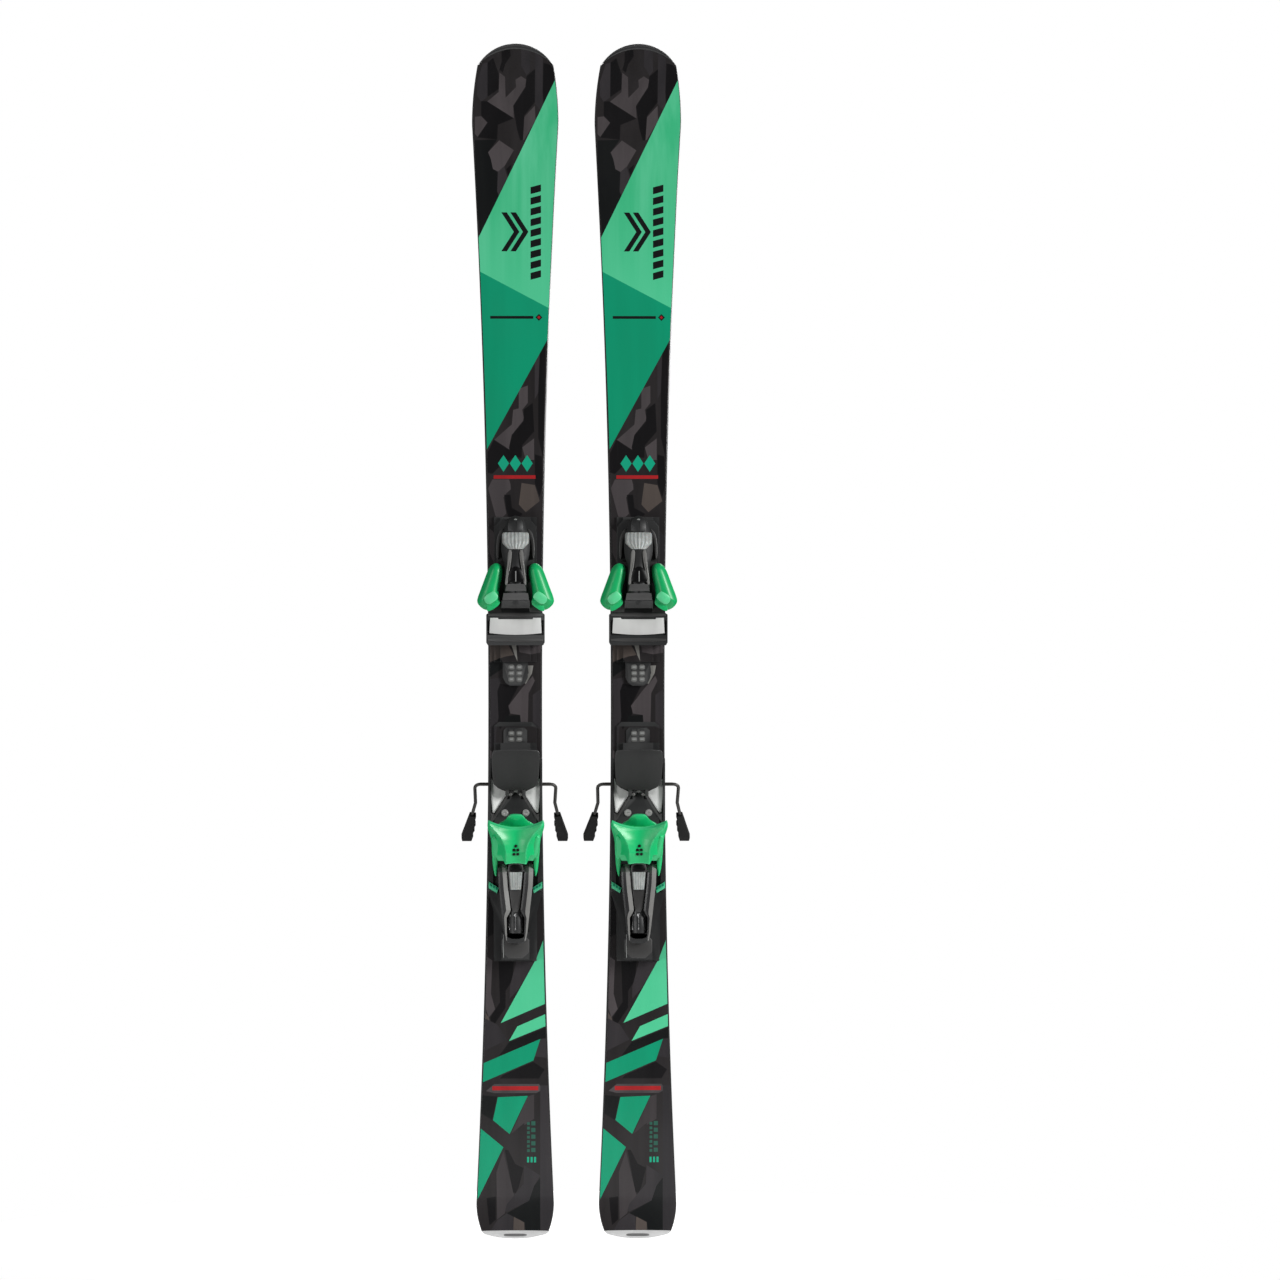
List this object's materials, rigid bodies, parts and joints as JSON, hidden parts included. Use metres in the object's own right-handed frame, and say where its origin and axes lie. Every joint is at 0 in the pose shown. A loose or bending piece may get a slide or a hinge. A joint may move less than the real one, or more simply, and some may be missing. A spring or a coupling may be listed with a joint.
{
  "type": "pair of alpine skis with release bindings",
  "caption": "Pair of upright shaped alpine skis with rail-mounted toe and heel release bindings, sprung brakes, open heel cups and green, black and teal faceted top sheets.",
  "frame": {"origin": "on the ground between the two tails, at the centre of the pair", "axes": "+Z from the tails up to the tips, +X across the pair to the right as seen from the top-sheet side, -Y out of the top sheets"},
  "size_m": [0.33, 0.1693, 1.712],
  "materials": {
    "base": "sintered black running base, waxed, with a fine stone grind",
    "edge_steel": "ground steel edge",
    "core": "laminated wood core, hidden",
    "sidewall": "satin black sidewall",
    "topsheet": "satin top sheet printed in light green, teal, black and grey facets",
    "guard": "satin metal tip and tail guards",
    "binding_black": "fine grained black glass-filled plastic",
    "binding_green": "satin bright green moulded plastic",
    "brake_plastic": "dark grey moulded plastic",
    "plate_silver": "bead-blasted silver plate",
    "slider": "smooth low-friction pale grey pad",
    "window": "frosted grey window over the release scale",
    "screw_steel": "zinc-plated steel",
    "spring_steel": "oiled spring steel",
    "brake_wire": "dark coated spring wire"
  },
  "bodies": {
    "left_ski": {"left_ski_base": "base", "left_ski_edges": "edge_steel", "left_ski_core": "core", "left_ski_sidewalls": "sidewall", "left_ski_topsheet": "topsheet", "left_ski_end_guards": "guard", "left_toe_rail": "binding_black", "left_heel_rail": "binding_black", "left_rail_screws": "screw_steel"},
    "left_toe": {"left_toe_carriage": "binding_black", "left_toe_housing": "binding_black", "left_toe_window": "window", "left_toe_wing_pins": "screw_steel", "left_toe_spring": "spring_steel"},
    "left_wing_l": {"left_toe_wing_l": "binding_green"},
    "left_wing_r": {"left_toe_wing_r": "binding_green"},
    "left_slider": {"left_afd_pad": "slider"},
    "left_toe_screw": {"left_toe_setting_screw": "screw_steel"},
    "left_heel": {"left_heel_carriage": "binding_black", "left_heel_housing": "binding_black", "left_heel_window": "window", "left_heel_fasteners": "screw_steel", "left_heel_spring": "spring_steel", "left_brake_plate": "plate_silver"},
    "left_cup": {"left_heel_cup": "binding_green"},
    "left_lever": {"left_heel_lever": "binding_black"},
    "left_heel_screw": {"left_heel_setting_screw": "screw_steel"},
    "left_brake": {"left_brake_arms": "brake_wire", "left_brake_tips": "brake_plastic"},
    "left_pedal": {"left_brake_pedal": "brake_plastic"},
    "right_ski": {"right_ski_base": "base", "right_ski_edges": "edge_steel", "right_ski_core": "core", "right_ski_sidewalls": "sidewall", "right_ski_topsheet": "topsheet", "right_ski_end_guards": "guard", "right_toe_rail": "binding_black", "right_heel_rail": "binding_black", "right_rail_screws": "screw_steel"},
    "right_toe": {"right_toe_carriage": "binding_black", "right_toe_housing": "binding_black", "right_toe_window": "window", "right_toe_wing_pins": "screw_steel", "right_toe_spring": "spring_steel"},
    "right_wing_l": {"right_toe_wing_l": "binding_green"},
    "right_wing_r": {"right_toe_wing_r": "binding_green"},
    "right_slider": {"right_afd_pad": "slider"},
    "right_toe_screw": {"right_toe_setting_screw": "screw_steel"},
    "right_heel": {"right_heel_carriage": "binding_black", "right_heel_housing": "binding_black", "right_heel_window": "window", "right_heel_fasteners": "screw_steel", "right_heel_spring": "spring_steel", "right_brake_plate": "plate_silver"},
    "right_cup": {"right_heel_cup": "binding_green"},
    "right_lever": {"right_heel_lever": "binding_black"},
    "right_heel_screw": {"right_heel_setting_screw": "screw_steel"},
    "right_brake": {"right_brake_arms": "brake_wire", "right_brake_tips": "brake_plastic"},
    "right_pedal": {"right_brake_pedal": "brake_plastic"}
  },
  "joints": [
    {"name": "left_brake_swing", "type": "hinge", "parent": "left_heel", "child": "left_brake", "pos_m": [-0.088, -0.005, 0.653], "axis": [-1, 0, 0], "range_deg": [0, 50], "stiffness_Nm_per_rad": 0.8, "springref_deg": -20.05},
    {"name": "left_brake_pedal_tilt", "type": "hinge", "parent": "left_heel", "child": "left_pedal", "pos_m": [-0.088, -0.015, 0.643], "axis": [-1, 0, 0], "range_deg": [0, 25]},
    {"name": "left_cup_tilt", "type": "hinge", "parent": "left_heel", "child": "left_cup", "pos_m": [-0.088, -0.022, 0.56], "axis": [-1, 0, 0], "range_deg": [0, 35]},
    {"name": "left_lever_tilt", "type": "hinge", "parent": "left_heel", "child": "left_lever", "pos_m": [-0.088, -0.03, 0.531], "axis": [-1, 0, 0], "range_deg": [0, 42]},
    {"name": "left_heel_slide", "type": "slide", "parent": "left_ski", "child": "left_heel", "axis": [0, 0, 1], "range_m": [-0.02, 0.02]},
    {"name": "left_toe_slide", "type": "slide", "parent": "left_ski", "child": "left_toe", "axis": [0, 0, 1], "range_m": [-0.018, 0.015]},
    {"name": "left_toe_wing_l_swing", "type": "hinge", "parent": "left_toe", "child": "left_wing_l", "pos_m": [-0.114, -0.029, 0.956], "axis": [0, 1, 0], "range_deg": [0, 35], "stiffness_Nm_per_rad": 3, "springref_deg": -5.73},
    {"name": "left_toe_wing_r_swing", "type": "hinge", "parent": "left_toe", "child": "left_wing_r", "pos_m": [-0.062, -0.029, 0.956], "axis": [0, -1, 0], "range_deg": [0, 35], "stiffness_Nm_per_rad": 3, "springref_deg": -5.73},
    {"name": "left_slider_shift", "type": "slide", "parent": "left_toe", "child": "left_slider", "axis": [1, 0, 0], "range_m": [-0.003, 0.003], "stiffness_N_per_m": 400},
    {"name": "left_toe_screw_turn", "type": "hinge", "parent": "left_toe", "child": "left_toe_screw", "pos_m": [-0.088, -0.018, 1], "axis": [0, 0, 1], "continuous": true},
    {"name": "left_heel_screw_turn", "type": "hinge", "parent": "left_heel", "child": "left_heel_screw", "pos_m": [-0.088, -0.024, 0.45], "axis": [0, 0, 1], "continuous": true},
    {"name": "ski_spacing", "type": "slide", "parent": "left_ski", "child": "right_ski", "axis": [1, 0, 0], "range_m": [-0.01, 0.1]},
    {"name": "right_brake_swing", "type": "hinge", "parent": "right_heel", "child": "right_brake", "pos_m": [0.088, -0.005, 0.653], "axis": [-1, 0, 0], "range_deg": [0, 50], "stiffness_Nm_per_rad": 0.8, "springref_deg": -20.05},
    {"name": "right_brake_pedal_tilt", "type": "hinge", "parent": "right_heel", "child": "right_pedal", "pos_m": [0.088, -0.015, 0.643], "axis": [-1, 0, 0], "range_deg": [0, 25]},
    {"name": "right_cup_tilt", "type": "hinge", "parent": "right_heel", "child": "right_cup", "pos_m": [0.088, -0.022, 0.56], "axis": [-1, 0, 0], "range_deg": [0, 35]},
    {"name": "right_lever_tilt", "type": "hinge", "parent": "right_heel", "child": "right_lever", "pos_m": [0.088, -0.03, 0.531], "axis": [-1, 0, 0], "range_deg": [0, 42]},
    {"name": "right_heel_slide", "type": "slide", "parent": "right_ski", "child": "right_heel", "axis": [0, 0, 1], "range_m": [-0.02, 0.02]},
    {"name": "right_toe_slide", "type": "slide", "parent": "right_ski", "child": "right_toe", "axis": [0, 0, 1], "range_m": [-0.018, 0.015]},
    {"name": "right_toe_wing_l_swing", "type": "hinge", "parent": "right_toe", "child": "right_wing_l", "pos_m": [0.062, -0.029, 0.956], "axis": [0, 1, 0], "range_deg": [0, 35], "stiffness_Nm_per_rad": 3, "springref_deg": -5.73},
    {"name": "right_toe_wing_r_swing", "type": "hinge", "parent": "right_toe", "child": "right_wing_r", "pos_m": [0.114, -0.029, 0.956], "axis": [0, -1, 0], "range_deg": [0, 35], "stiffness_Nm_per_rad": 3, "springref_deg": -5.73},
    {"name": "right_slider_shift", "type": "slide", "parent": "right_toe", "child": "right_slider", "axis": [1, 0, 0], "range_m": [-0.003, 0.003], "stiffness_N_per_m": 400},
    {"name": "right_toe_screw_turn", "type": "hinge", "parent": "right_toe", "child": "right_toe_screw", "pos_m": [0.088, -0.018, 1], "axis": [0, 0, 1], "continuous": true},
    {"name": "right_heel_screw_turn", "type": "hinge", "parent": "right_heel", "child": "right_heel_screw", "pos_m": [0.088, -0.024, 0.45], "axis": [0, 0, 1], "continuous": true}
  ],
  "couplings": [
    {"joint": "left_brake_pedal_tilt", "follows": "left_brake_swing", "ratio": 0.5},
    {"joint": "left_lever_tilt", "follows": "left_cup_tilt", "ratio": 1.2},
    {"joint": "right_brake_pedal_tilt", "follows": "right_brake_swing", "ratio": 0.5},
    {"joint": "right_lever_tilt", "follows": "right_cup_tilt", "ratio": 1.2}
  ]
}
